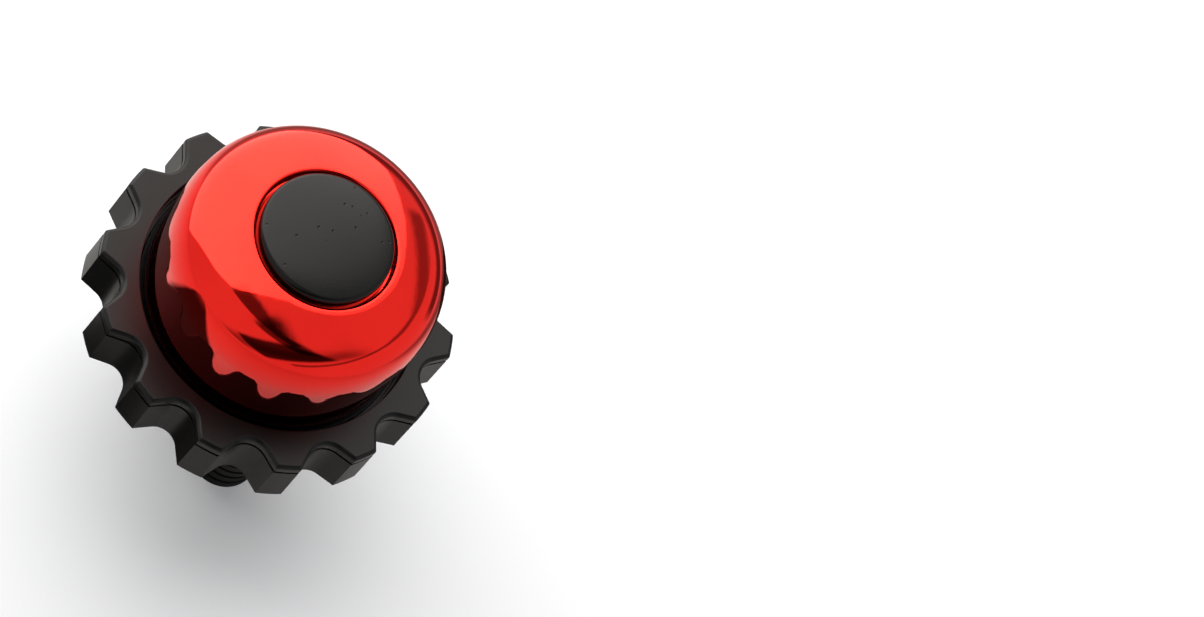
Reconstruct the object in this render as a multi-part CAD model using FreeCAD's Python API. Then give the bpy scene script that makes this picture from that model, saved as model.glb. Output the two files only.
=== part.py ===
# Twist-ring bicycle bell on its handlebar clamp.
#
# A toothed thumb ring turns on the bell's base. Teeth inside the ring drive an idler, and the idler
# drives a small gear on the centre post, three turns to one. That gear carries an arm with two loose
# steel strikers, which fly out and ring the inside of the fixed metal dome.
#
# Millimetres. Origin: centre of the clamp's bore. +X along the handlebar, +Z up the bell's axis.
import FreeCAD
import Part
import math
import os

Vector = FreeCAD.Vector
UP = Vector(0, 0, 1)
ALONG_BAR = Vector(1, 0, 0)

# ---------------------------------------------------------------- driving dimensions
# clearances
SEAT_GAP = 0.05            # between parts that sit in one another and never move
RUN_GAP = 0.06             # radial running fit of a gear on its shaft
RING_RUN_GAP = 0.08        # radial running fit of the thumb ring on the base
SIDE_PLAY = 0.2            # axial play of what turns
END_ROOM = 1.5             # a blind hole goes on this far past the screw's end

# handlebar clamp
BAR_R = 11.1
LINER_T = 0.9
LINER_FLANGE_H = 1.0
LINER_FLANGE_T = 1.0
LINER_SLIT = 1.2
CLAMP_W = 15.0
CLAMP_WALL = 2.25
CLAMP_SPLIT = 0.6

# clamp screw and its bosses
SCREW_R = 1.5
SCREW_HOLE_GAP = 0.15
SCREW_END = 1.0            # the screw passes its nut by this much
SCREW_HEAD_R = 2.75
SCREW_HEAD_H = 1.8
RECESS_SPAN = 1.6          # half width of the head's cross recess
RECESS_ARM_W = 0.6
HEAD_SINK = 2.8            # depth of the head's seat inside the boss
BOSS_INNER_WALL = 0.2      # plastic left between the screw's hole and the bar's seat
BOSS_R = 5.4
BOSS_IN = 1.4              # the boss's middle lies this far nearer the bar than the screw
BOSS_SIDE = 0.2            # from the boss to the clamp's end face
BOSS_SHORT = 2.5           # the boss ends this far above the band's lowest point
GROOVE_PITCH = 2.2
GROOVE_FIRST = 1.7         # plain band below the first groove
GROOVE_H = 0.7
GROOVE_DEPTH = 0.4
NUT_FLATS = 5.5
NUT_H = 2.4
NUT_WALL = 0.7             # plastic between the nut's pocket and the bar's seat

# hook on the far side of the clamp
TAB_W = 8.0
TAB_T = 1.6
TAB_LIP = 1.0
TAB_LIP_H = 1.2
TAB_TOP = 4.2
TAB_ROOT = 5.0
EAR_H = 7.0
EAR_WALL = 2.2

# base disc and gear room
DISC_T = 2.15
RIB_T = 1.4
RIB_REACH = 5.0
PILLAR_R = 2.8
PILLAR_ANGLES = (90, 180, 270)
RETAINER_INSET = 0.68      # the retainer plate is this much smaller than the hole above it
RETAINER_T = 1.0
RETAINER_SCREW_R = 1.0
RETAINER_SCREW_BITE = 3.4  # length of screw in the pillar
RETAINER_HEAD_R = 1.9
RETAINER_HEAD_H = 1.2
RETAINER_SLOT_W = 0.6

# thumb ring
TEETH = 14
RING_H = 10.46
RING_HANG = 0.31           # the ring's lower edge hangs this far below the base disc
DOME_GAP = 0.92            # open gap between the dome and the ring's hole
COVER_LAND = 2.42          # plain width from the hole to the gullets
TOOTH_DEPTH = 3.48
TIP_HALF_WIDTH = 1.9
GULLET_R = 3.2
RING_WALL = 1.42           # from the running bore to the gullets
FIRST_TOOTH = 99.87        # degrees from +X
DRAFT = 0.2                # the wall grows outwards by this much towards its lower edge
COVER_T = 1.75
SHADOW_GAP_H = 0.4
SHADOW_GAP_DEPTH = 0.8
COVER_BEVEL = 0.45
COVER_SPIGOT_H = 0.9
COVER_SPIGOT_T = 0.8
WEB_T = 3.4                # height of the ring's inner gear
CORE_DEPTH = 6.5           # hollow in each tooth, open below
CORE_WALL = 1.2
CORE_FLARE = 1.5           # the hollow's root is this many times as wide as its end

# gears
RING_GEAR_BAND = 3.3       # from the inner gear's pitch circle to the edge of the base disc
RING_GEAR_TEETH = 48
IDLER_TEETH = 16
ROTOR_TEETH = RING_GEAR_TEETH - 2 * IDLER_TEETH
PRESSURE_ANGLE = math.radians(20)
ADDENDUM = 0.9             # tooth heights in modules
RING_GEAR_ADDENDUM = 0.8
DEDENDUM = 1.25
BACKLASH = 0.12
FLANK_STEPS = 3
GEAR_T = 2.8
GEAR_LIFT = 0.5            # gears run this far above the base disc
AXLE_R = 1.5
AXLE_BOSS_R = 2.6

# centre post and rotor
POST_R = 2.5
POST_FOOT_R = 4.2
POST_FOOT_T = 1.2
STUD_R = 2.0
HUB_R = 4.2
HUB_TOP = 9.8              # shoulder that the arm sits on, above the base disc
SPIGOT_R = 3.6
SPIGOT_FLAT = 3.0
ARM_T = 1.2
ARM_R = 3.3
ARM_HUB_R = 6.2
CLIP_R = 4.6
CLIP_T = 0.6
CLIP_GROOVE = 0.4
THRUST_WASHER_R = 4.8
THRUST_WASHER_T = 0.4

# strikers
STRIKER_REACH = 0.66       # from a striker at rest to the inside of the dome
STRIKER_R = 4.5
STRIKER_HOLE_R = 2.2
STRIKER_T = 2.4
STRIKER_LIFT = 0.3
PIN_R = 1.5
PIN_HEAD_R = 2.7
PIN_HEAD_T = 0.7

# dome
DOME_R = 20.66
DOME_T = 0.9
DOME_DIP = 1.2             # the rim ends this far below the ring's top face
BELLY_START = 8.4          # above the ring's top face: the wall is upright below this
BELLY_R = 31.5
SHOULDER_R = 4.0
CROWN_R = 52.0
RECESS_R = 10.7
RECESS_DEPTH = 1.7
RECESS_LIP = 0.6
CROWN_EDGE_H = 20.7        # above the ring's top face, at the edge of the cap's recess

# dome fastening and cap
PAD_T = 0.6
PAD_R = 5.5
WASHER_T = 0.5
WASHER_R = 5.5
DOME_NUT_R = 3.5
DOME_NUT_H = 1.5
NUT_SLOT_W = 0.8
NUT_SLOT_D = 0.6
CAP_GAP = 0.6              # between the cap and the wall of its recess
CAP_DRAFT = 0.15
CAP_H = 3.0
CAP_RISE = 0.8
CAP_EDGE = 0.8
CAP_WALL = 1.1
CAP_BOSS_WALL = 1.45

# ---------------------------------------------------------------- sizes that follow
seat_r = BAR_R + LINER_T + SEAT_GAP
clamp_r = seat_r + CLAMP_WALL
half_w = CLAMP_W / 2
split_z = CLAMP_SPLIT / 2
screw_y = -(seat_r + BOSS_INNER_WALL + SCREW_HOLE_GAP + SCREW_R)
boss_x = -(half_w - BOSS_SIDE - BOSS_R)
boss_y = screw_y + BOSS_IN
boss_bottom = BOSS_SHORT - clamp_r
head_top = boss_bottom + HEAD_SINK
nut_pocket_r = (NUT_FLATS + 2 * SEAT_GAP) / math.sqrt(3)
nut_bottom = math.sqrt(seat_r ** 2 - (-screw_y - nut_pocket_r - NUT_WALL) ** 2) + SEAT_GAP
nut_top = nut_bottom + NUT_H
cover_hole_r = DOME_R + DOME_GAP
gullet_bottom_r = cover_hole_r + COVER_LAND
tip_r = gullet_bottom_r + TOOTH_DEPTH
disc_r = gullet_bottom_r - RING_WALL - RING_RUN_GAP
retainer_r = cover_hole_r - RETAINER_INSET
disc_bottom = seat_r + LINER_FLANGE_H
disc_top = disc_bottom + DISC_T
ring_bottom = disc_bottom - RING_HANG
ring_top = ring_bottom + RING_H
cover_bottom = ring_top - COVER_T
body_top = cover_bottom - SHADOW_GAP_H
web_bottom = disc_top + SIDE_PLAY
web_top = web_bottom + WEB_T
retainer_bottom = web_top + SIDE_PLAY
retainer_top = retainer_bottom + RETAINER_T
gear_bottom = disc_top + GEAR_LIFT
gear_top = gear_bottom + GEAR_T
ring_gear_r = disc_r - RING_GEAR_BAND
module = 2 * ring_gear_r / RING_GEAR_TEETH
rotor_gear_r = module * ROTOR_TEETH / 2
idler_at = rotor_gear_r + module * IDLER_TEETH / 2
# an idler with an even count shows the rotor a tooth there, and one with an odd count a gap
rotor_phase = 0.0 if IDLER_TEETH % 2 else math.pi / ROTOR_TEETH
pillar_at = (rotor_gear_r + ring_gear_r) / 2
arm_bottom = disc_top + HUB_TOP
arm_top = arm_bottom + ARM_T
clip_bottom = arm_top + SIDE_PLAY
striker_at = DOME_R - DOME_T - STRIKER_REACH - STRIKER_R
striker_bottom = arm_top + STRIKER_LIFT
pin_head_bottom = striker_bottom + STRIKER_T + STRIKER_LIFT
dome_rim = ring_top - DOME_DIP
crown_edge_z = ring_top + CROWN_EDGE_H
recess_floor = crown_edge_z - RECESS_DEPTH
pad_bottom = recess_floor - DOME_T - PAD_T
dome_nut_bottom = recess_floor + WASHER_T
dome_nut_top = dome_nut_bottom + DOME_NUT_H
cap_r = RECESS_R - CAP_GAP
cap_top = recess_floor + SEAT_GAP + CAP_H


# ---------------------------------------------------------------- helpers
def disc(radius, z0, z1, x=0.0, y=0.0):
    """Upright cylinder from z0 to z1."""
    return Part.makeCylinder(radius, z1 - z0, Vector(x, y, z0), UP)


def tube(outer, inner, z0, z1, x=0.0, y=0.0):
    """Upright ring from z0 to z1."""
    return disc(outer, z0, z1, x, y).cut(disc(inner, z0, z1, x, y))


def block(x0, x1, y0, y1, z0, z1):
    """Box between two corners."""
    return Part.makeBox(x1 - x0, y1 - y0, z1 - z0, Vector(x0, y0, z0))


def bar_cylinder(radius, length):
    """Cylinder along the handlebar, centred on the origin."""
    return Part.makeCylinder(radius, length, Vector(-length / 2, 0, 0), ALONG_BAR)


def polar(radius, angle, z=0.0):
    """Point at a radius and an angle in radians."""
    return Vector(radius * math.cos(angle), radius * math.sin(angle), z)


def prism(wire, z0, z1):
    """Solid on a flat wire drawn at z = 0, from z0 to z1."""
    face = Part.Face(wire)
    face.translate(Vector(0, 0, z0))
    return face.extrude(Vector(0, 0, z1 - z0))


def revolve(edges):
    """Solid of revolution about Z from edges drawn in the XZ plane."""
    face = Part.Face(Part.Wire(edges))
    return face.revolve(Vector(0, 0, 0), UP, 360)


def line(a, b):
    return Part.LineSegment(a, b).toShape()


def arc(a, through, b):
    return Part.Arc(a, through, b).toShape()


def path(points):
    """Straight edges through points (r, z) in the XZ plane."""
    corners = [Vector(r, 0, z) for r, z in points]
    return [line(a, b) for a, b in zip(corners, corners[1:])]


def hex_prism(flats, z0, z1, x=0.0, y=0.0):
    """Hexagonal prism with two flats facing the X axis."""
    corner_r = flats / math.sqrt(3)
    corners = [polar(corner_r, math.radians(30 + 60 * i)) for i in range(7)]
    body = prism(Part.makePolygon(corners), z0, z1)
    body.translate(Vector(x, y, 0))
    return body


def around(shape, angles):
    """Copies of a shape turned about Z by angles in degrees."""
    copies = []
    for angle in angles:
        copy = shape.copy()
        copy.rotate(Vector(0, 0, 0), UP, angle)
        copies.append(copy)
    return copies


# ---------------------------------------------------------------- gear outlines
def involute(angle):
    return math.tan(angle) - angle


def flank(pitch_r, half_pitch_angle, radii):
    """Half-width angles of an involute tooth at each radius."""
    base_r = pitch_r * math.cos(PRESSURE_ANGLE)
    angles = []
    for radius in radii:
        at = math.acos(min(1.0, base_r / radius))
        angles.append(half_pitch_angle + involute(PRESSURE_ANGLE) - involute(at))
    return angles


def tooth_wire(teeth, lobes, phase):
    """Closed outline from one lobe's (radius, half angle) list, root first, repeated round the gear."""
    corners = []
    for i in range(teeth):
        centre = phase + 2 * math.pi * i / teeth
        corners += [polar(radius, centre - half) for radius, half in lobes]
        corners += [polar(radius, centre + half) for radius, half in reversed(lobes)]
    return Part.makePolygon(corners + corners[:1])


def gear_lobe(teeth, inner_r, outer_r, slack):
    """Radii and half angles of one involute lobe between two radii."""
    pitch_r = module * teeth / 2
    base_r = pitch_r * math.cos(PRESSURE_ANGLE)
    start = max(inner_r, base_r)
    radii = [start + (outer_r - start) * i / FLANK_STEPS for i in range(FLANK_STEPS + 1)]
    half_pitch = math.pi / (2 * teeth) + slack / (2 * pitch_r)
    lobes = list(zip(radii, flank(pitch_r, half_pitch, radii)))
    if inner_r < start:
        lobes.insert(0, (inner_r, lobes[0][1]))
    return lobes


def outer_gear(teeth, z0, z1, phase):
    """Spur gear with a tooth centred on the phase angle."""
    pitch_r = module * teeth / 2
    lobes = gear_lobe(teeth, pitch_r - DEDENDUM * module, pitch_r + ADDENDUM * module, -BACKLASH)
    return prism(tooth_wire(teeth, lobes, phase), z0, z1)


def inner_gear_hole(z0, z1, phase):
    """Hole of the ring's inner gear, with a gap between teeth centred on the phase angle."""
    tip = ring_gear_r - RING_GEAR_ADDENDUM * module
    root = ring_gear_r + DEDENDUM * module
    lobes = gear_lobe(RING_GEAR_TEETH, tip, root, BACKLASH)
    return prism(tooth_wire(RING_GEAR_TEETH, lobes, phase), z0, z1)


# ---------------------------------------------------------------- thumb ring
def ring_outline(grow=0.0):
    """Outline of the thumb ring: flat-topped teeth, straight flanks and round gullets."""
    pitch = 2 * math.pi / TEETH
    outer_r = tip_r + grow
    arc_r = GULLET_R - grow
    tip_half = (TIP_HALF_WIDTH + grow / 2) / outer_r
    centre_r = gullet_bottom_r + GULLET_R
    corner = polar(outer_r, pitch / 2 - tip_half)
    to_corner = corner - Vector(centre_r, 0, 0)
    turn = math.atan2(to_corner.y, to_corner.x) + math.acos(arc_r / to_corner.Length)
    touch = Vector(centre_r + arc_r * math.cos(turn), arc_r * math.sin(turn), 0)
    bottom = Vector(centre_r - arc_r, 0, 0)
    edges = []
    for i in range(TEETH):
        middle = math.radians(FIRST_TOOTH) + pitch * (i + 0.5)
        spot = FreeCAD.Rotation(UP, math.degrees(middle))
        mirrored = [Vector(p.x, -p.y, 0) for p in (corner, touch)]
        near_corner, near_touch = [spot.multVec(p) for p in mirrored]
        low, far_touch, far_corner = [spot.multVec(p) for p in (bottom, touch, corner)]
        next_corner = FreeCAD.Rotation(UP, math.degrees(middle + pitch)).multVec(mirrored[0])
        edges.append(line(near_corner, near_touch))
        edges.append(arc(near_touch, low, far_touch))
        edges.append(line(far_touch, far_corner))
        edges.append(arc(far_corner, polar(outer_r, middle + pitch / 2), next_corner))
    return Part.Wire(edges)


def drafted(z0, z1, grow0, grow1):
    """Toothed solid whose outline grows by grow0 at z0 and grow1 at z1."""
    low = ring_outline(grow0)
    high = ring_outline(grow1)
    low.translate(Vector(0, 0, z0))
    high.translate(Vector(0, 0, z1))
    return Part.makeLoft([low, high], True, True)


def ring_cover():
    """Toothed top plate with a bevelled edge and a spigot that centres it in the ring."""
    spigot_bottom = body_top - COVER_SPIGOT_H
    plate = drafted(cover_bottom, ring_top - COVER_BEVEL, 0, 0)
    bevel = drafted(ring_top - COVER_BEVEL, ring_top, 0, -COVER_BEVEL)
    neck = drafted(body_top, cover_bottom, -SHADOW_GAP_DEPTH, -SHADOW_GAP_DEPTH)
    spigot = disc(cover_hole_r + COVER_SPIGOT_T, spigot_bottom, body_top)
    cover = plate.fuse([bevel, neck, spigot])
    return cover.cut(disc(cover_hole_r, spigot_bottom, ring_top)).removeSplitter()


def tooth_core():
    """Moulded hollow in one tooth, open at the ring's lower edge."""
    inner = gullet_bottom_r
    outer = tip_r - CORE_WALL
    half_tip = TIP_HALF_WIDTH - CORE_WALL / 2
    half_root = half_tip * CORE_FLARE
    corners = [(inner, -half_root), (outer, -half_tip), (outer, half_tip), (inner, half_root)]
    loop = [Vector(x, y, 0) for x, y in corners + corners[:1]]
    return prism(Part.makePolygon(loop), ring_bottom, ring_bottom + CORE_DEPTH)


def ring_body():
    """Toothed thumb ring with its inner gear, its running bore and a hollow in each tooth."""
    body = drafted(ring_bottom, body_top, DRAFT, 0)
    running_bore = disc(disc_r + RING_RUN_GAP, ring_bottom, web_bottom)
    gear_hole = inner_gear_hole(web_bottom, web_top, 0.0)
    retainer_room = disc(retainer_r + 2 * SIDE_PLAY, web_top, body_top)
    spigot_r = cover_hole_r + COVER_SPIGOT_T + SEAT_GAP
    spigot_room = disc(spigot_r, body_top - COVER_SPIGOT_H - SEAT_GAP, body_top)
    pitch = 360.0 / TEETH
    cores = around(tooth_core(), [FIRST_TOOTH + pitch * i for i in range(TEETH)])
    return body.cut([running_bore, gear_hole, retainer_room, spigot_room] + cores)


# ---------------------------------------------------------------- base and clamp
def saddle():
    """Upper half of the clamp: a block over the bar with the screw's boss and the hook's ear."""
    walls = block(-half_w, half_w, -clamp_r, clamp_r, split_z, disc_bottom)
    boss = disc(BOSS_R, split_z, disc_bottom, boss_x, boss_y)
    ear_outer = clamp_r + SEAT_GAP + TAB_T + TAB_LIP + EAR_WALL
    ear = block(-half_w, half_w, clamp_r, ear_outer, split_z, EAR_H)
    return walls.fuse([boss, ear])


def hook_room():
    """Slot in the ear for the hooked tab, wider above the ledge that the lip rests on."""
    half_tab = TAB_W / 2 + 2 * SEAT_GAP
    tab_outer = clamp_r + TAB_T + 3 * SEAT_GAP
    ledge = TAB_TOP - TAB_LIP_H - 2 * SEAT_GAP
    slot = block(-half_tab, half_tab, clamp_r, tab_outer, 0, TAB_TOP + 2 * SEAT_GAP)
    lip = block(-half_tab, half_tab, clamp_r, tab_outer + TAB_LIP, ledge, TAB_TOP + 2 * SEAT_GAP)
    return slot.fuse(lip)


def nut_room():
    """Hexagonal pocket for the captive nut, open on the boss's outer side."""
    low = nut_bottom - SEAT_GAP
    high = nut_top + SEAT_GAP
    half = NUT_FLATS / 2 + SEAT_GAP
    pocket = hex_prism(2 * half, low, high, boss_x, screw_y)
    return pocket.fuse(block(boss_x - half, boss_x + half, boss_y - 2 * BOSS_R, screw_y, low, high))


def gusset():
    """Rib from the saddle's wall to the underside of the base disc."""
    corners = [(half_w, disc_bottom), (half_w + RIB_REACH, disc_bottom), (half_w, disc_bottom - RIB_REACH)]
    loop = [Vector(x, 0, z) for x, z in corners + corners[:1]]
    rib = Part.Face(Part.makePolygon(loop)).extrude(Vector(0, RIB_T, 0))
    return rib


def gussets():
    """Four ribs, two on each side of the saddle."""
    ribs = []
    for y in (-clamp_r, clamp_r - RIB_T):
        rib = gusset()
        rib.translate(Vector(0, y, 0))
        ribs.append(rib)
        ribs.append(rib.mirror(Vector(0, 0, 0), ALONG_BAR))
    return ribs


def base_housing():
    """Base disc with pillars for the retainer and the upper half of the clamp moulded below it."""
    pillar_tip = retainer_bottom
    body = disc(disc_r, disc_bottom, disc_top)
    pillars = around(disc(PILLAR_R, disc_top, pillar_tip, pillar_at, 0), PILLAR_ANGLES)
    axle_boss = disc(AXLE_BOSS_R, disc_top, disc_top + THRUST_WASHER_T, idler_at, 0)
    body = body.fuse([saddle(), axle_boss] + pillars + gussets())
    screw_hole_r = RETAINER_SCREW_R + RUN_GAP / 2
    screw_bottom = pillar_tip - RETAINER_SCREW_BITE - END_ROOM
    pillar_holes = around(disc(screw_hole_r, screw_bottom, pillar_tip, pillar_at, 0), PILLAR_ANGLES)
    foot = disc(POST_FOOT_R + SEAT_GAP, 0, seat_r + SEAT_GAP + POST_FOOT_T)
    post_hole = disc(POST_R + SEAT_GAP, 0, disc_top)
    axle_hole = disc(AXLE_R + SEAT_GAP, disc_bottom, disc_top + THRUST_WASHER_T, idler_at, 0)
    screw_hole = disc(SCREW_R + SCREW_HOLE_GAP, 0, nut_top + SCREW_END + END_ROOM, boss_x, screw_y)
    seat = bar_cylinder(seat_r, 2 * CLAMP_W)
    cuts = [foot, post_hole, axle_hole, screw_hole, seat, hook_room(), nut_room()]
    return body.cut(cuts + pillar_holes)


def clamp_strap():
    """Lower half of the clamp: a half band with a ringed screw boss and a hooked tab."""
    band = bar_cylinder(clamp_r, CLAMP_W)
    boss = disc(BOSS_R, boss_bottom, -split_z, boss_x, boss_y)
    tab_inner = clamp_r + SEAT_GAP
    half_tab = TAB_W / 2
    tab_outer = tab_inner + TAB_T
    tab = block(-half_tab, half_tab, tab_inner, tab_outer, -TAB_ROOT, TAB_TOP)
    lip = block(-half_tab, half_tab, tab_outer, tab_outer + TAB_LIP, TAB_TOP - TAB_LIP_H, TAB_TOP)
    root = block(-half_tab, half_tab, seat_r, tab_inner, -TAB_ROOT, -split_z)
    below = block(-CLAMP_W, CLAMP_W, -2 * clamp_r, 2 * clamp_r, -2 * clamp_r, -split_z)
    band = band.common(below)
    grooves = []
    z = boss_bottom + GROOVE_FIRST
    while z + GROOVE_PITCH < -split_z:
        grooves.append(tube(2 * BOSS_R, BOSS_R - GROOVE_DEPTH, z, z + GROOVE_H, boss_x, boss_y))
        z += GROOVE_PITCH
    strap = band.fuse(boss.cut(grooves)).fuse([root, tab, lip])
    screw_hole = disc(SCREW_R + SCREW_HOLE_GAP, boss_bottom, 0, boss_x, screw_y)
    head_room = disc(SCREW_HEAD_R + SCREW_HOLE_GAP, boss_bottom, head_top, boss_x, screw_y)
    return strap.cut([bar_cylinder(seat_r, 2 * CLAMP_W), screw_hole, head_room])


def bar_liner():
    """Rubber sleeve between clamp and bar, flanged at both ends and slit on the screw's side."""
    length = CLAMP_W + 2 * SEAT_GAP
    sleeve = bar_cylinder(BAR_R + LINER_T, length)
    full = length + 2 * LINER_FLANGE_T
    flanges = bar_cylinder(BAR_R + LINER_T + LINER_FLANGE_H, full).cut(bar_cylinder(2 * BAR_R, length))
    slit = block(-full, full, -2 * BAR_R, 0, -LINER_SLIT / 2, LINER_SLIT / 2)
    return sleeve.fuse(flanges).cut([bar_cylinder(BAR_R, full), slit])


def clamp_screw():
    """Pan-head screw with a cross recess, put in from below."""
    bottom = head_top - SCREW_HEAD_H
    recess_top = head_top - SCREW_HEAD_H / 2
    half = RECESS_ARM_W / 2
    shank = disc(SCREW_R, head_top, nut_top + SCREW_END)
    head = disc(SCREW_HEAD_R, bottom, head_top)
    across = block(-RECESS_SPAN, RECESS_SPAN, -half, half, bottom, recess_top)
    screw = shank.fuse(head).cut([across, block(-half, half, -RECESS_SPAN, RECESS_SPAN, bottom, recess_top)])
    screw.translate(Vector(boss_x, screw_y, 0))
    return screw


def clamp_nut():
    """Captive hexagon nut."""
    body = hex_prism(NUT_FLATS, nut_bottom, nut_top, boss_x, screw_y)
    return body.cut(disc(SCREW_R + RUN_GAP, nut_bottom, nut_top, boss_x, screw_y))


# ---------------------------------------------------------------- post, gears and rotor
def centre_post():
    """Shouldered post: a foot under the base disc, a running shaft and a threaded stud for the dome."""
    foot_bottom = seat_r + SEAT_GAP
    foot = disc(POST_FOOT_R, foot_bottom, foot_bottom + POST_FOOT_T)
    shaft = disc(POST_R, foot_bottom, pad_bottom)
    stud = disc(STUD_R, pad_bottom, dome_nut_top)
    groove = tube(2 * POST_R, POST_R - CLIP_GROOVE, clip_bottom, clip_bottom + CLIP_T)
    post = foot.fuse([shaft, stud]).cut(groove)
    return post.cut(bar_cylinder(seat_r, CLAMP_W))


def thrust_washer():
    """Washer under the rotor's gear."""
    return tube(THRUST_WASHER_R, POST_R + RUN_GAP, disc_top, disc_top + THRUST_WASHER_T)


def idler_axle():
    """Plain pin held by the base disc and the retainer plate."""
    return disc(AXLE_R, disc_bottom, retainer_top, idler_at, 0)


def idler_gear():
    """Spur gear between the ring's teeth and the rotor's gear."""
    gear = outer_gear(IDLER_TEETH, gear_bottom, gear_top, 0.0)
    gear = gear.cut(disc(AXLE_R + RUN_GAP, gear_bottom, gear_top))
    gear.translate(Vector(idler_at, 0, 0))
    return gear


def double_d(radius, flat, z0, z1):
    """Round bar with two flats facing the bar's direction."""
    return disc(radius, z0, z1).common(block(-flat, flat, -radius, radius, z0, z1))


def rotor_gear():
    """Small gear with a long hub whose top has two flats for the arm."""
    gear = outer_gear(ROTOR_TEETH, gear_bottom, gear_top, rotor_phase)
    hub = disc(HUB_R, gear_top, arm_bottom)
    spigot = double_d(SPIGOT_R, SPIGOT_FLAT, arm_bottom, arm_top)
    return gear.fuse([hub, spigot]).cut(disc(POST_R + RUN_GAP, gear_bottom, arm_top))


def striker_arm():
    """Pressed steel arm with a round middle and round ends."""
    bar = block(-ARM_R, ARM_R, -striker_at, striker_at, arm_bottom, arm_top)
    ends = [disc(ARM_R, arm_bottom, arm_top, 0, y) for y in (-striker_at, striker_at)]
    arm = disc(ARM_HUB_R, arm_bottom, arm_top).fuse([bar] + ends).removeSplitter()
    hole = double_d(SPIGOT_R + SEAT_GAP, SPIGOT_FLAT + SEAT_GAP, arm_bottom, arm_top)
    pin_holes = [disc(PIN_R + SEAT_GAP, arm_bottom, arm_top, 0, y) for y in (-striker_at, striker_at)]
    return arm.cut([hole] + pin_holes)


def striker_pins():
    """Two headed pins riveted into the arm."""
    pins = []
    for y in (-striker_at, striker_at):
        shank = disc(PIN_R, arm_bottom, pin_head_bottom, 0, y)
        pins.append(shank.fuse(disc(PIN_HEAD_R, pin_head_bottom, pin_head_bottom + PIN_HEAD_T, 0, y)))
    return Part.makeCompound(pins)


def striker(side):
    """Loose steel washer, free to fly outwards on its pin."""
    top = striker_bottom + STRIKER_T
    return tube(STRIKER_R, STRIKER_HOLE_R, striker_bottom, top, 0, side * striker_at)


def rotor_clip():
    """Open spring clip that keeps the rotor on the post."""
    top = clip_bottom + CLIP_T
    inner = POST_R - CLIP_GROOVE + SEAT_GAP
    mouth = block(0, 2 * CLIP_R, -inner, inner, clip_bottom, top)
    return tube(CLIP_R, inner, clip_bottom, top).cut(mouth)


def retainer_plate():
    """Steel plate over the gears: it holds the ring down and steadies the idler's axle."""
    plate = disc(retainer_r, retainer_bottom, retainer_top)
    hub_hole = disc(HUB_R + 2 * SIDE_PLAY, retainer_bottom, retainer_top)
    axle_hole = disc(AXLE_R + SEAT_GAP, retainer_bottom, retainer_top, idler_at, 0)
    hole = disc(RETAINER_SCREW_R + SEAT_GAP, retainer_bottom, retainer_top, pillar_at, 0)
    return plate.cut([hub_hole, axle_hole] + around(hole, PILLAR_ANGLES))


def retainer_screws():
    """Three small pan-head screws into the base's pillars."""
    head_end = retainer_top + RETAINER_HEAD_H
    shank = disc(RETAINER_SCREW_R, retainer_bottom - RETAINER_SCREW_BITE, retainer_top)
    head = disc(RETAINER_HEAD_R, retainer_top, head_end)
    half = RETAINER_SLOT_W / 2
    slot = block(-RETAINER_HEAD_R, RETAINER_HEAD_R, -half, half, head_end - RETAINER_HEAD_H / 2, head_end)
    screw = shank.fuse(head).cut(slot)
    screw.translate(Vector(pillar_at, 0, 0))
    return Part.makeCompound(around(screw, PILLAR_ANGLES))


# ---------------------------------------------------------------- dome and cap
def shoulder_centre():
    """Centre (r, z) of the shoulder's arc, which touches both the belly's arc and the crown's arc."""
    belly = (DOME_R - BELLY_R, ring_top + BELLY_START)
    crown = (0.0, crown_edge_z - math.sqrt(CROWN_R ** 2 - RECESS_R ** 2))
    reach_belly = BELLY_R - SHOULDER_R
    reach_crown = CROWN_R - SHOULDER_R
    dr = crown[0] - belly[0]
    dz = crown[1] - belly[1]
    apart = math.hypot(dr, dz)
    along = (apart ** 2 + reach_belly ** 2 - reach_crown ** 2) / (2 * apart)
    aside = math.sqrt(reach_belly ** 2 - along ** 2)
    return (belly[0] + (along * dr - aside * dz) / apart, belly[1] + (along * dz + aside * dr) / apart)


def dome_side(inset):
    """Edges from the rim to the crown at a given depth inside the outer surface, and both end points."""
    centre = shoulder_centre()
    belly = (DOME_R - BELLY_R, ring_top + BELLY_START)
    crown = (0.0, crown_edge_z - math.sqrt(CROWN_R ** 2 - RECESS_R ** 2))
    belly_end = math.atan2(centre[1] - belly[1], centre[0] - belly[0])
    crown_start = math.atan2(centre[1] - crown[1], centre[0] - crown[0])
    stop_r = RECESS_R + (DOME_T if inset else RECESS_LIP)
    crown_end = math.acos(stop_r / (CROWN_R - inset))

    def on(origin, radius, angle):
        return Vector(origin[0] + radius * math.cos(angle), 0, origin[1] + radius * math.sin(angle))

    rim = Vector(DOME_R - inset, 0, dome_rim + DOME_T / 2)
    foot = Vector(DOME_R - inset, 0, belly[1])
    edges = [line(rim, foot)]
    stretches = [(belly, BELLY_R - inset, 0.0, belly_end),
                 (centre, SHOULDER_R - inset, belly_end, crown_start),
                 (crown, CROWN_R - inset, crown_start, crown_end)]
    for origin, radius, start, end in stretches:
        edges.append(arc(on(origin, radius, start), on(origin, radius, (start + end) / 2),
                         on(origin, radius, end)))
    return edges, rim, on(crown, CROWN_R - inset, crown_end)


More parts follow.
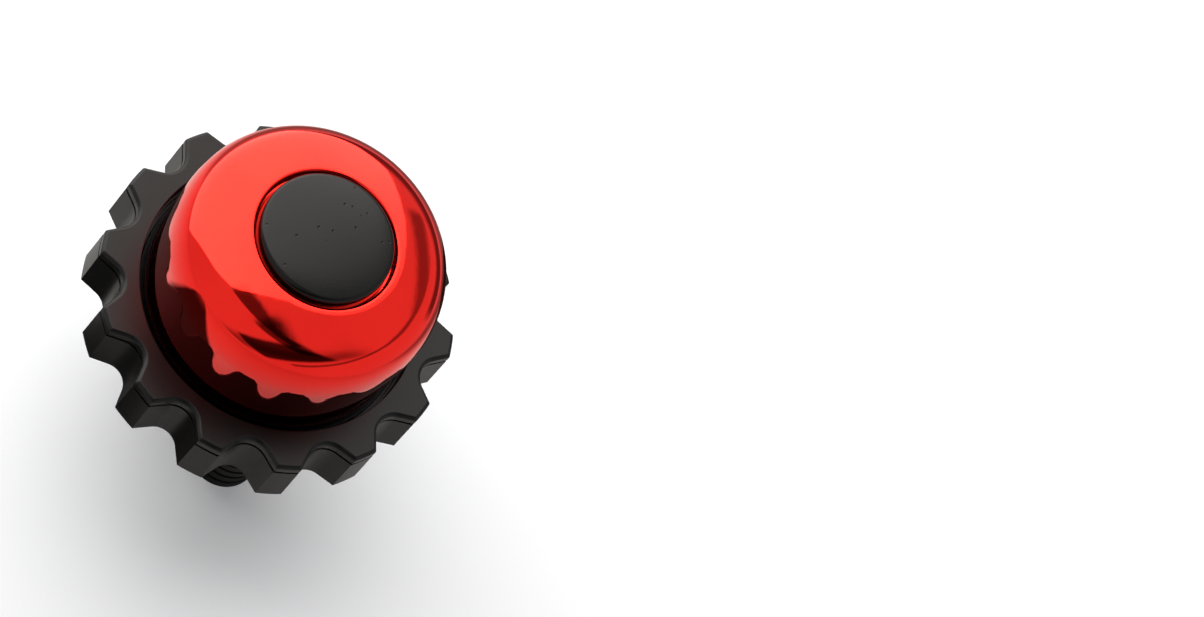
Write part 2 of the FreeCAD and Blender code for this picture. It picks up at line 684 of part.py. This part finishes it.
def dome():
    """Pressed metal dome: upright wall, tight shoulder, shallow crown and a dished seat for the cap."""
    outer, outer_rim, outer_crown = dome_side(0.0)
    inner, inner_rim, inner_crown = dome_side(DOME_T)
    lip_end = Vector(RECESS_R, 0, outer_crown.z - RECESS_LIP)
    cut_back = RECESS_LIP * (1 - math.sqrt(0.5))
    lip_middle = Vector(RECESS_R + cut_back, 0, outer_crown.z - cut_back)
    lip = arc(outer_crown, lip_middle, lip_end)
    hole_r = STUD_R + SEAT_GAP
    under = recess_floor - DOME_T
    seat = path([(RECESS_R, lip_end.z), (RECESS_R, recess_floor), (hole_r, recess_floor), (hole_r, under),
                 (RECESS_R + DOME_T, under), (inner_crown.x, inner_crown.z)])
    rolled = arc(inner_rim, Vector(DOME_R - DOME_T / 2, 0, dome_rim), outer_rim)
    return revolve(outer + [lip] + seat + inner[::-1] + [rolled])


def dome_pad():
    """Fibre washer that the dome rests on."""
    return tube(PAD_R, STUD_R + SEAT_GAP, pad_bottom, pad_bottom + PAD_T)


def dome_washer():
    """Steel washer under the dome's nut."""
    return tube(WASHER_R, STUD_R + SEAT_GAP, recess_floor, recess_floor + WASHER_T)


def dome_nut():
    """Round slotted nut that the cap grips."""
    body = tube(DOME_NUT_R, STUD_R + RUN_GAP, dome_nut_bottom, dome_nut_top)
    slot = block(-DOME_NUT_R, DOME_NUT_R, -NUT_SLOT_W / 2, NUT_SLOT_W / 2, dome_nut_top - NUT_SLOT_D, dome_nut_top)
    return body.cut(slot)


def cap():
    """Moulded cap with a shallow crowned top, a skirt in the dome's recess and a boss on the nut."""
    bottom = recess_floor + SEAT_GAP
    roof = dome_nut_top + 3 * SEAT_GAP
    skirt_inner = cap_r - CAP_WALL
    boss_inner = DOME_NUT_R + SEAT_GAP
    boss_outer = boss_inner + CAP_BOSS_WALL
    boss_bottom = recess_floor + WASHER_T + 2 * SEAT_GAP
    edge = Vector(cap_r, 0, cap_top - CAP_EDGE)
    cut_back = CAP_EDGE * (1 - math.sqrt(0.5))
    round_over = arc(edge, Vector(cap_r - cut_back, 0, cap_top - cut_back),
                     Vector(cap_r - CAP_EDGE, 0, cap_top))
    rim_r = cap_r - CAP_EDGE
    crown_r = (rim_r ** 2 + CAP_RISE ** 2) / (2 * CAP_RISE)
    half_way = rim_r / 2
    half_drop = crown_r - math.sqrt(crown_r ** 2 - half_way ** 2)
    crown = arc(Vector(rim_r, 0, cap_top), Vector(half_way, 0, cap_top + CAP_RISE - half_drop),
                Vector(0, 0, cap_top + CAP_RISE))
    under = path([(0, cap_top + CAP_RISE), (0, roof), (boss_inner, roof), (boss_inner, boss_bottom),
                  (boss_outer, boss_bottom), (boss_outer, roof), (skirt_inner, roof), (skirt_inner, bottom),
                  (cap_r + CAP_DRAFT, bottom), (cap_r, cap_top - CAP_EDGE)])
    return revolve([round_over, crown] + under)


# ---------------------------------------------------------------- output
NODES = {
    "base_housing": base_housing,
    "clamp_strap": clamp_strap,
    "bar_liner": bar_liner,
    "clamp_screw": clamp_screw,
    "clamp_nut": clamp_nut,
    "centre_post": centre_post,
    "thrust_washer": thrust_washer,
    "idler_axle": idler_axle,
    "idler_gear": idler_gear,
    "rotor_gear": rotor_gear,
    "striker_arm": striker_arm,
    "striker_pins": striker_pins,
    "striker_a": lambda: striker(1),
    "striker_b": lambda: striker(-1),
    "rotor_clip": rotor_clip,
    "retainer_plate": retainer_plate,
    "retainer_screws": retainer_screws,
    "ring_body": ring_body,
    "ring_cover": ring_cover,
    "dome": dome,
    "dome_pad": dome_pad,
    "dome_washer": dome_washer,
    "dome_nut": dome_nut,
    "cap": cap,
}

os.makedirs("parts", exist_ok=True)
for name, make in NODES.items():
    shape = make()
    print(f"{name}: {len(shape.Solids)} solid, {shape.Volume:.1f} mm3, valid {shape.isValid()}")
    shape.exportStep(f"parts/{name}.step")
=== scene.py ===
"""Looks of a twist-ring bicycle bell: red lacquered dome, black thumb ring, black cap, bar clamp."""
import math

import bpy
from mathutils import Matrix, Vector


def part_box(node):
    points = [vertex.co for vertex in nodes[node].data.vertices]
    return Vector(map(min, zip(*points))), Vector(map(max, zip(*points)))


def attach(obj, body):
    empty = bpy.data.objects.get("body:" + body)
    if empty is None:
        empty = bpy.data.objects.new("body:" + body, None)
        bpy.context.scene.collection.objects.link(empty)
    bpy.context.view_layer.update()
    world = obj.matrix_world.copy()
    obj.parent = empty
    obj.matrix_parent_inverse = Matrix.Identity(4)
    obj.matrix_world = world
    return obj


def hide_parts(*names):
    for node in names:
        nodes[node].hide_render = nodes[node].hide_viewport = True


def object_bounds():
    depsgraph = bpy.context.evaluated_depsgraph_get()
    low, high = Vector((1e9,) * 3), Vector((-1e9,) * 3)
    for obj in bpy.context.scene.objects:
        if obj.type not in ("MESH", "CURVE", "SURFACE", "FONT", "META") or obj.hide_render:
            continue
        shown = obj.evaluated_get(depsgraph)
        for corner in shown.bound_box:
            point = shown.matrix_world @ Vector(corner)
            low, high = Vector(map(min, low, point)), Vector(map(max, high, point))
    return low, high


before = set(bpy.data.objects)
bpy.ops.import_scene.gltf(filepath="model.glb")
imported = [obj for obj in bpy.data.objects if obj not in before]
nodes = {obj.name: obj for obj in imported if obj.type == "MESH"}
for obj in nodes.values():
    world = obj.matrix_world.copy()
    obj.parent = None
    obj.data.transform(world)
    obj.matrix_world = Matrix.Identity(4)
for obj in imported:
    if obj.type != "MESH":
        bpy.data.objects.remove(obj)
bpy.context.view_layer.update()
MM = 0.001
MERGE_DISTANCE = 0.000002       # corners this near one another become one
FLAT = math.radians(1)          # faces this flat to one another become one
SHARP = math.radians(32)        # edges of mouldings sharper than this are eased
CORNER = math.radians(50)       # edges of turned pieces sharper than this are eased
SMOOTH = math.radians(40)       # edges softer than this are shaded smooth
DRIFT_LOW, DRIFT_HIGH = 0.35, 0.65      # part of a noise's range over which a colour drifts
DOME_STEPS, CAP_STEPS = 240, 160        # steps round the bell's axis


# ---------------------------------------------------------------- small tools
def linear(hex_colour):
    """sRGB hex to the linear colour that a socket takes."""
    parts = [int(hex_colour[i:i + 2], 16) / 255 for i in (1, 3, 5)]
    return [c / 12.92 if c <= 0.04045 else ((c + 0.055) / 1.055) ** 2.4 for c in parts] + [1.0]


def add(tree, kind, settings=None, links=None):
    """A node with its settings, and its inputs linked from other nodes' outputs."""
    node = tree.nodes.new(kind)
    for key, value in (settings or {}).items():
        if isinstance(key, str) and hasattr(node, key):
            setattr(node, key, value)
        else:
            node.inputs[key].default_value = value
    for key, source in (links or {}).items():
        tree.links.new(source, node.inputs[key])
    return node


def start_finish(name, **sockets):
    """A new material: its tree, its shader with the constant sockets set, and object coordinates."""
    material = bpy.data.materials.new(name)
    material.use_nodes = True
    tree = material.node_tree
    shader = tree.nodes["Principled BSDF"]
    for key, value in sockets.items():
        shader.inputs[key.replace("_", " ")].default_value = value
    return material, tree, shader, add(tree, "ShaderNodeTexCoord").outputs["Object"]


def noise(tree, where, scale, detail):
    """Value of a noise with the given number of waves to a metre."""
    return add(tree, "ShaderNodeTexNoise", {"Scale": scale, "Detail": detail}, {"Vector": where}).outputs["Fac"]


def remap(tree, value, interpolation="LINEAR", **ends):
    """A value mapped from From_Min and From_Max to To_Min and To_Max, which are 0 and 1 if left out."""
    settings = {key.replace("_", " "): end for key, end in ends.items()}
    settings["interpolation_type"] = interpolation
    return add(tree, "ShaderNodeMapRange", settings, {"Value": value}).outputs["Result"]


def calculate(tree, operation, *values):
    """Result of a maths node on numbers and other nodes' outputs."""
    numbers = {i: value for i, value in enumerate(values) if isinstance(value, (int, float))}
    outputs = {i: value for i, value in enumerate(values) if i not in numbers}
    return add(tree, "ShaderNodeMath", {"operation": operation, **numbers}, outputs).outputs[0]


def distance_along(tree, where, direction):
    """How far a point lies along a direction."""
    settings = {"operation": "DOT_PRODUCT", 1: direction}
    return add(tree, "ShaderNodeVectorMath", settings, {0: where}).outputs["Value"]


def either(tree, factor, first, second):
    """Shader that goes from the first to the second as the factor goes from 0 to 1."""
    return add(tree, "ShaderNodeMixShader", links={0: factor, 1: first, 2: second}).outputs[0]


def bump(tree, shader, height, **settings):
    """Bumps a finish by a height, on top of the bump that it has."""
    normal = shader.inputs["Normal"]
    links = {"Height": height}
    if normal.links:
        links["Normal"] = normal.links[0].from_socket
    tree.links.new(add(tree, "ShaderNodeBump", settings, links).outputs["Normal"], normal)


def tint_between(tree, shader, factor, first, second):
    """Colour that drifts between two hex values."""
    node = add(tree, "ShaderNodeValToRGB", links={"Fac": factor})
    start, end = node.color_ramp.elements
    start.position, end.position = DRIFT_LOW, DRIFT_HIGH
    start.color, end.color = linear(first), linear(second)
    tree.links.new(node.outputs["Color"], shader.inputs["Base Color"])


def clear_selection():
    """Nothing selected, so that an operator acts only on what is picked next."""
    bpy.ops.object.select_all(action="DESELECT")


def pick(piece):
    """One piece selected and active."""
    clear_selection()
    piece.select_set(True)
    bpy.context.view_layer.objects.active = piece


def modify(piece, kind, **settings):
    """A modifier with its settings, applied."""
    pick(piece)
    modifier = piece.modifiers.new(kind.lower(), kind)
    for key, value in settings.items():
        setattr(modifier, key, value)
    bpy.ops.object.modifier_apply(modifier=modifier.name)


def settle(piece, stands_for, body, material):
    """Gives a finished piece its finish, its body and the CAD nodes that it stands for."""
    piece.data.materials.clear()
    piece.data.materials.append(material)
    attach(piece, body)
    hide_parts(*stands_for)


def wear(node_names, material):
    """Gives CAD nodes a finish in all their slots."""
    for name in node_names:
        if not nodes[name].material_slots:
            nodes[name].data.materials.append(material)
        for slot in nodes[name].material_slots:
            slot.material = material


# ---------------------------------------------------------------- moulded and machined edges
def eased_copy(node, name, radius):
    """Merged copy of a moulded or machined part, with its sharp edges eased to a small radius."""
    piece = bpy.data.objects.new(name, nodes[node].data.copy())
    bpy.context.collection.objects.link(piece)
    pick(piece)
    bpy.ops.mesh.customdata_custom_splitnormals_clear()
    bpy.ops.object.mode_set(mode="EDIT")
    bpy.ops.mesh.select_all(action="SELECT")
    bpy.ops.mesh.remove_doubles(threshold=MERGE_DISTANCE)
    bpy.ops.mesh.dissolve_limited(angle_limit=FLAT)
    bpy.ops.object.mode_set(mode="OBJECT")
    modify(piece, "BEVEL", width=radius, segments=2, limit_method="ANGLE", angle_limit=SHARP)
    bpy.ops.object.shade_smooth_by_angle(angle=SMOOTH)
    modify(piece, "WEIGHTED_NORMAL", keep_sharp=True)
    return piece


# ---------------------------------------------------------------- turned pieces
def start_profile(name, radius, height):
    """One vertex in the XZ plane, in edit mode, from which half of a turned section is drawn."""
    clear_selection()
    bpy.ops.mesh.primitive_plane_add(size=MM, location=(radius, 0, height))
    piece = bpy.context.object
    piece.name = name
    bpy.ops.object.transform_apply(location=True, rotation=True, scale=True)
    bpy.ops.object.mode_set(mode="EDIT")
    bpy.ops.mesh.select_mode(type="VERT")
    bpy.ops.mesh.select_all(action="SELECT")
    bpy.ops.mesh.merge(type="CENTER")
    return piece


def pen(piece):
    """Radius and height of the selected end of the profile."""
    bpy.ops.object.mode_set(mode="OBJECT")
    end = next(vertex.co.copy() for vertex in piece.data.vertices if vertex.select)
    bpy.ops.object.mode_set(mode="EDIT")
    return end.x, end.z


def draw_to(piece, radius, height, steps=1):
    """Straight run of the profile to a radius and a height."""
    r, z = pen(piece)
    step = ((radius - r) / steps, 0, (height - z) / steps)
    for _ in range(steps):
        bpy.ops.mesh.extrude_region_move(TRANSFORM_OT_translate={"value": step})


def draw_arc(piece, radius, start, end, steps):
    """Arc of the profile between two directions, in degrees from outwards towards upwards."""
    r, z = pen(piece)
    a = math.radians(start)
    bpy.ops.mesh.spin(steps=steps, angle=math.radians(end - start), axis=(0, 1, 0),
                      center=(r - radius * math.cos(a), 0, z - radius * math.sin(a)))


def turn(piece, steps):
    """Turns the drawn section once round the bell's axis and joins its ends and poles."""
    bpy.ops.mesh.select_all(action="SELECT")
    bpy.ops.mesh.spin(steps=steps, angle=2 * math.pi, axis=(0, 0, 1), center=(0, 0, 0))
    bpy.ops.mesh.select_all(action="SELECT")
    bpy.ops.mesh.remove_doubles(threshold=MERGE_DISTANCE)
    bpy.ops.mesh.normals_make_consistent(inside=False)
    bpy.ops.object.mode_set(mode="OBJECT")


def pressed_dome():
    """Shell pressed from sheet: flared wall, soft shoulder, shallow crown, rolled lip and the cap's seat."""
    low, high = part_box("dome")
    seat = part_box("dome_washer")[0].z
    sheet = 0.85 * MM
    rim = high.x - 0.18 * MM
    collar = 3.4 * MM
    flare, flare_bend = 1.8, 60 * MM
    flare_out, flare_up = 0.214 * MM, 6.816 * MM
    lip, hole, edge = 0.62 * MM, 2.1 * MM, 0.4 * MM
    piece = start_profile("pressed_dome", rim, low.z)
    draw_to(piece, rim, low.z + collar, 3)
    # above an upright collar the wall flares up to its widest place
    direction = -flare
    draw_arc(piece, -flare_bend, 0, direction, 3)
    r, z = pen(piece)
    draw_to(piece, r + flare_out, z + flare_up, 4)
    # belly, blend, shoulder, blend and crown: radius in mm, the direction where it ends, steps
    for radius, end, steps in ((15, 12, 12), (10, 20, 6), (5.26, 66.787, 24), (11, 71.787, 4), (52, 77.45, 8)):
        draw_arc(piece, radius * MM, direction, end, steps)
        direction = end
    draw_arc(piece, lip, direction, 180, 10)
    draw_to(piece, pen(piece)[0], seat, 2)
    draw_to(piece, hole, seat, 3)
    turn(piece, DOME_STEPS)
    # the sheet is added on the inner side, so the faces have to look outwards
    top = max(piece.data.polygons, key=lambda face: face.center.z)
    if top.normal.z < 0:
        bpy.ops.object.mode_set(mode="EDIT")
        bpy.ops.mesh.flip_normals()
        bpy.ops.object.mode_set(mode="OBJECT")
    modify(piece, "SOLIDIFY", thickness=sheet, offset=-1.0, use_even_offset=True)
    modify(piece, "BEVEL", width=edge, segments=3, limit_method="ANGLE", angle_limit=CORNER)
    bpy.ops.object.shade_smooth_by_angle(angle=SMOOTH)
    return piece


def turned_cap():
    """Cap with a pillowed top, a soft edge, a drafted skirt and a boss that grips the dome's nut."""
    low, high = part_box("cap")
    nut_low, nut_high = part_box("dome_nut")
    draft, skirt_wall, boss_wall = 0.15 * MM, 1.1 * MM, 1.45 * MM
    nut_gap, roof_gap, boss_gap = 0.05 * MM, 0.15 * MM, 0.1 * MM
    edge_start = high.z - 2.03 * MM
    edge, edge_end = 0.8 * MM, 70
    blend, blend_end = 3 * MM, 75.5
    skirt_edge = 0.12 * MM
    top_r = high.x - draft
    inner_r = top_r - skirt_wall
    nut_r = nut_high.x + nut_gap
    boss_r = nut_r + boss_wall
    roof = nut_high.z + roof_gap
    boss_low = nut_low.z + boss_gap
    piece = start_profile("pillowed_cap", 0, roof)
    for radius, height in ((nut_r, roof), (nut_r, boss_low), (boss_r, boss_low), (boss_r, roof),
                           (inner_r, roof), (inner_r, low.z), (high.x, low.z), (top_r, edge_start)):
        draw_to(piece, radius, height)
    # edge, blend, and a pillow that ends on the axis
    draw_arc(piece, edge, 0, edge_end, 8)
    draw_arc(piece, blend, edge_end, blend_end, 5)
    draw_arc(piece, pen(piece)[0] / math.cos(math.radians(blend_end)), blend_end, 90, 12)
    turn(piece, CAP_STEPS)
    modify(piece, "BEVEL", width=skirt_edge, segments=2, limit_method="ANGLE", angle_limit=CORNER)
    bpy.ops.object.shade_smooth_by_angle(angle=SMOOTH)
    return piece


# ---------------------------------------------------------------- finishes
def red_lacquer():
    """Candy lacquer sprayed on polished brass: a deep red mirror under a clear gloss, darker at its edges."""
    material, tree, shader, where = start_finish(
        "red_candy_lacquer", Metallic=1.0, Coat_Weight=0.36, Coat_Roughness=0.03, Coat_Tint=linear("#ffb8ac"))
    # the lacquer pools slightly: tint drifts over about 12 mm
    tint_between(tree, shader, noise(tree, where, 80.0, 2.0), "#f41807", "#fb1f0d")
    # polishing haze in patches of about 2 mm
    haze = remap(tree, noise(tree, where, 500.0, 3.0), To_Min=0.03, To_Max=0.06)
    tree.links.new(haze, shader.inputs["Roughness"])
    # orange peel of a sprayed coat, waves of about 1.5 mm
    bump(tree, shader, noise(tree, where, 650.0, 1.0), Strength=0.03, Distance=0.2 * MM)
    return material


def moulding(name, first, second, gloss, grain, depth, **sockets):
    """Injection moulding with a spark-eroded grain: grain is the width of its pits, depth their depth."""
    material, tree, shader, where = start_finish(name, **sockets)
    # flow clouding over about 8 mm
    cloud = noise(tree, where, 120.0, 3.0)
    tint_between(tree, shader, cloud, first, second)
    tree.links.new(remap(tree, cloud, To_Min=gloss, To_Max=gloss + 0.1), shader.inputs["Roughness"])
    bump(tree, shader, noise(tree, where, 1 / grain, 2.0), Strength=0.4, Distance=depth)
    return material


def pinholes(material, spacing, width, depth):
    """Adds scattered pinholes to a moulding's grain, at most one in each cell of the given spacing."""
    tree = material.node_tree
    where = tree.nodes["Texture Coordinate"].outputs["Object"]
    apart = add(tree, "ShaderNodeTexVoronoi", {"Scale": 1 / spacing}, {"Vector": where}).outputs["Distance"]
    bump(tree, tree.nodes["Principled BSDF"], remap(tree, apart, From_Max=width / 2 / spacing), Distance=depth)


def steel(name, first, second, gloss):
    """Plated or blackened steel with a fine uneven grain."""
    material, tree, shader, where = start_finish(name, Metallic=1.0)
    mottle = noise(tree, where, 900.0, 4.0)
    tint_between(tree, shader, mottle, first, second)
    tree.links.new(remap(tree, mottle, To_Min=gloss, To_Max=gloss + 0.12), shader.inputs["Roughness"])
    return material


lacquer = red_lacquer()
ring_nylon = moulding("satin_black_nylon", "#0d0c0c", "#131212", 0.3, 0.35 * MM, 0.03 * MM,
                      Specular_IOR_Level=0.2)
cap_abs = moulding("satin_black_abs", "#0a0a0a", "#0f0f0e", 0.17, 0.4 * MM, 0.02 * MM, Specular_IOR_Level=0.19)
pinholes(cap_abs, 2.0 * MM, 0.45 * MM, 0.15 * MM)
base_nylon = moulding("matt_black_nylon", "#121212", "#181818", 0.48, 0.4 * MM, 0.04 * MM,
                      Specular_IOR_Level=0.25)
liner_rubber = moulding("moulded_epdm_rubber", "#151515", "#1d1d1c", 0.75, 0.6 * MM, 0.06 * MM,
                        Specular_IOR_Level=0.3)
acetal = moulding("natural_acetal", "#dedbd0", "#e8e5dc", 0.32, 0.5 * MM, 0.02 * MM)
fibre = moulding("vulcanised_fibre", "#5c2018", "#74291d", 0.7, 0.6 * MM, 0.05 * MM)
zinc = steel("bright_zinc_plate", "#b4b7ba", "#c6c9cc", 0.25)
oxide = steel("black_oxide_steel", "#161617", "#1c1c1e", 0.4)

settle(pressed_dome(), ["dome"], "root", lacquer)
settle(turned_cap(), ["cap"], "root", cap_abs)
for node, name, body, slot_name, material, radius in (
        ("ring_body", "ring_grip", "ring", "ring_plastic", ring_nylon, 0.15),
        ("ring_cover", "ring_top", "ring", "ring_plastic", ring_nylon, 0.15),
        ("base_housing", "base_moulding", "root", "base_plastic", base_nylon, 0.2),
        ("clamp_strap", "strap_moulding", "root", "base_plastic", base_nylon, 0.2),
        ("bar_liner", "liner_sleeve", "root", "liner_rubber", liner_rubber, 0.15),
        ("retainer_plate", "retainer_disc", "root", "black_steel", oxide, 0.1),
        ("clamp_screw", "screw_pan_head", "root", "zinc_steel", zinc, 0.15)):
    settle(eased_copy(node, name, radius * MM), [node], body, material)
wear(["clamp_nut", "centre_post", "idler_axle", "rotor_clip", "retainer_screws",
      "dome_washer", "dome_nut", "striker_arm", "striker_pins", "striker_a", "striker_b"], zinc)
wear(["thrust_washer", "idler_gear", "rotor_gear"], acetal)
wear(["dome_pad"], fibre)


# ---------------------------------------------------------------- floor
def towards(azimuth, elevation):
    """Unit vector for an azimuth and an elevation in degrees."""
    a, e = math.radians(azimuth), math.radians(elevation)
    return Vector((math.cos(a) * math.cos(e), math.sin(a) * math.cos(e), math.sin(e)))


FLOOR_GAP = 0.2 * MM            # from the clamp down to the floor
FLOOR_GLOW = 0.2                # light of its own that only the eye gets, so that the open floor reads as white
AWAY = (0.88, 0.47, 0.0)        # away from the camera, where painted shade darkens the floor that mirrors see
SHADE_FROM, SHADE_TO = 40 * MM, 100 * MM
SHADE_NEAR, SHADE_FAR = 0.72, 0.15              # painted shade of the mirrored floor before and after that
ACROSS_BAR = (0.0, 1.0, 0.0)
PAINTED_BAR_HALF_WIDTH, PAINTED_BAR_EDGE = 17 * MM, 21 * MM    # half width of the painted dark reflection of a handlebar, a strip on the floor that only mirrors see
PAINTED_BAR_LEVEL = 0.05
HORIZON_FROM, HORIZON_TO = 120 * MM, 500 * MM   # the mirrored floor fades into an even glow
HORIZON_LEVEL = 0.75

clear_selection()
bpy.ops.mesh.primitive_plane_add(size=6.0, location=(0, 0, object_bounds()[0][2] - FLOOR_GAP))
floor = bpy.context.object
floor.name = "floor"
material, tree, shader, where = start_finish("white_card", Roughness=0.9)
tint_between(tree, shader, noise(tree, where, 3.0, 2.0), "#e5e9f0", "#e9edf4")
lit = add(tree, "ShaderNodeAddShader", links={
    0: shader.outputs[0], 1: add(tree, "ShaderNodeEmission", {"Strength": FLOOR_GLOW}).outputs[0]}).outputs[0]
# mirrors see the card in painted shade that darkens away from the camera, with a painted dark reflection of a
# handlebar below the bell, and a glow towards the horizon
painted_mirror_shade = remap(tree, distance_along(tree, where, AWAY),
               From_Min=SHADE_FROM, From_Max=SHADE_TO, To_Min=SHADE_NEAR, To_Max=SHADE_FAR)
# painted reflection: a dark strip along the bar's line, which only mirrors see
off_bar = calculate(tree, "ABSOLUTE", distance_along(tree, where, ACROSS_BAR))
painted_bar_reflection = remap(tree, off_bar, From_Min=PAINTED_BAR_HALF_WIDTH, From_Max=PAINTED_BAR_EDGE, To_Min=PAINTED_BAR_LEVEL)
# diffuse card in painted shade, which only mirrors see
painted_mirror_card = add(tree, "ShaderNodeBsdfDiffuse", links={"Color": calculate(tree, "MULTIPLY", painted_mirror_shade, painted_bar_reflection)}).outputs[0]
horizon = add(tree, "ShaderNodeEmission", {"Strength": HORIZON_LEVEL}).outputs[0]
far = add(tree, "ShaderNodeVectorMath", {"operation": "LENGTH"}, {0: where}).outputs["Value"]
card = either(tree, remap(tree, far, From_Min=HORIZON_FROM, From_Max=HORIZON_TO), painted_mirror_card, horizon)
rays = add(tree, "ShaderNodeLightPath").outputs
mirrored = either(tree, rays["Is Glossy Ray"], shader.outputs[0], card)
seen = either(tree, rays["Is Camera Ray"], mirrored, lit)
tree.links.new(seen, tree.nodes["Material Output"].inputs["Surface"])
floor.data.materials.append(material)

# ---------------------------------------------------------------- light
SOFTBOX_LEVEL = 3.3
SOFTBOX_W, SOFTBOX_H = 2.8, 1.3
SOFTBOX_AT, SOFTBOX_AWAY = (88, 37), 0.7        # azimuth and elevation, and metres from the bell
SOFTBOX_TILT = (0.62, -0.78)                    # direction of its long side, from level and from upright
SOFTBOX_COLOUR = (1.0, 0.96, 0.9)
SOFTBOX_FADE, SOFTBOX_DIM_END = 0.45, 0.15      # one end is dimmer, over this share of the width
ROOM_LEVEL = 0.78
FILL_LEVEL = 0.12
# painted dark reflections, black flags that only mirrors see: both ends as azimuth and elevation, half width,
# feather, strength
PAINTED_REFLECTION_FLAGS = (
    ((-80, 58), (-138, 12), 11, 6, 0.92),
    ((-128, 80), (-88, 58), 5, 5, 0.85),
    ((-57, 54), (-165, -20), 1.5, 14, 0.6),
    ((-89, 70), (144, 78), 2, 2, 0.84),
    ((-108, 16), (21, 26), 1, 3, 0.65),
    ((-12, 4), (58, 4), 8, 10, 0.8))

box_light = bpy.data.lights.new("softbox", "AREA")
box_light.shape = "ELLIPSE"
box_light.size, box_light.size_y = SOFTBOX_W, SOFTBOX_H
# the power that gives this level of light over an ellipse
box_light.energy = SOFTBOX_LEVEL * math.pi * math.pi / 4 * SOFTBOX_W * SOFTBOX_H
box_light.color = SOFTBOX_COLOUR
box_light.use_nodes = True
tree = box_light.node_tree
across = add(tree, "ShaderNodeSeparateXYZ", links={0: add(tree, "ShaderNodeNewGeometry").outputs["Parametric"]})
fade = remap(tree, across.outputs["X"], From_Max=SOFTBOX_FADE, To_Min=SOFTBOX_DIM_END)
tree.links.new(fade, tree.nodes["Emission"].inputs["Strength"])
softbox = bpy.data.objects.new("softbox", box_light)
bpy.context.collection.objects.link(softbox)
facing_bell = towards(*SOFTBOX_AT)
level_side = Vector((0, 0, 1)).cross(facing_bell).normalized()
upper_side = facing_bell.cross(level_side)
box_x = (SOFTBOX_TILT[0] * level_side + SOFTBOX_TILT[1] * upper_side).normalized()
box_y = facing_bell.cross(box_x)
softbox.matrix_world = (Matrix.Translation(facing_bell * SOFTBOX_AWAY)
                        @ Matrix((box_x, box_y, facing_bell)).transposed().to_4x4())
softbox.visible_camera = False

world = bpy.data.worlds.new("studio")
bpy.context.scene.world = world
world.use_nodes = True
tree = world.node_tree
facing = add(tree, "ShaderNodeTexCoord").outputs["Generated"]


def painted_dark_flag(level, first, second, half_width, feather, strength):
    """Painted dark reflection: dims a level of light along the arc between two directions, with feathered sides
    and ends.
    """
    first, second = towards(*first), towards(*second)
    half_width, feather = math.radians(half_width), math.radians(feather)
    reach = math.acos(first.dot(second)) / 2
    off_line = calculate(tree, "ABSOLUTE", distance_along(tree, facing, first.cross(second).normalized()))
    beside = remap(tree, off_line, "SMOOTHSTEP",
                   From_Min=math.sin(half_width + feather), From_Max=math.sin(half_width))
    near = distance_along(tree, facing, (first + second).normalized())
    along = remap(tree, near, "SMOOTHSTEP", From_Min=math.cos(reach + feather), From_Max=math.cos(reach))
    left = calculate(tree, "MULTIPLY_ADD", calculate(tree, "MULTIPLY", beside, along), -strength, 1.0)
    return calculate(tree, "MULTIPLY", level, left)


# mirrors see an even grey room with the painted dark flags; matt surfaces get a low fill; the eye sees white
room = add(tree, "ShaderNodeValue").outputs[0]
room.default_value = ROOM_LEVEL
for flag in PAINTED_REFLECTION_FLAGS:
    room = painted_dark_flag(room, *flag)
rays = add(tree, "ShaderNodeLightPath").outputs
fill = add(tree, "ShaderNodeMix", {"A": FILL_LEVEL}, {"Factor": rays["Is Glossy Ray"], "B": room})
white = add(tree, "ShaderNodeMix", {"B": 1.0}, {"Factor": rays["Is Camera Ray"], "A": fill.outputs["Result"]})
background = tree.nodes["Background"]
background.inputs["Color"].default_value = linear("#ffffff")
tree.links.new(white.outputs["Result"], background.inputs["Strength"])

# ---------------------------------------------------------------- camera
FOCAL_LENGTH, SENSOR_WIDTH = 103.04, 36.0
CAMERA_PLACE = (-0.205971, -0.144457, 0.467989)
CAMERA_RIGHT = (0.85694, -0.32964, 0.39622)
CAMERA_AHEAD = (0.48379, 0.24930, -0.83893)

lens = bpy.data.cameras.new("camera")
lens.lens = FOCAL_LENGTH
lens.sensor_width = SENSOR_WIDTH
camera = bpy.data.objects.new("camera", lens)
bpy.context.collection.objects.link(camera)
right = Vector(CAMERA_RIGHT).normalized()
ahead = Vector(CAMERA_AHEAD).normalized()
above = right.cross(ahead)
camera.matrix_world = (Matrix.Translation(CAMERA_PLACE)
                       @ Matrix((right, above, -ahead)).transposed().to_4x4())
bpy.context.scene.camera = camera
bpy.context.scene.view_settings.view_transform = "Standard"
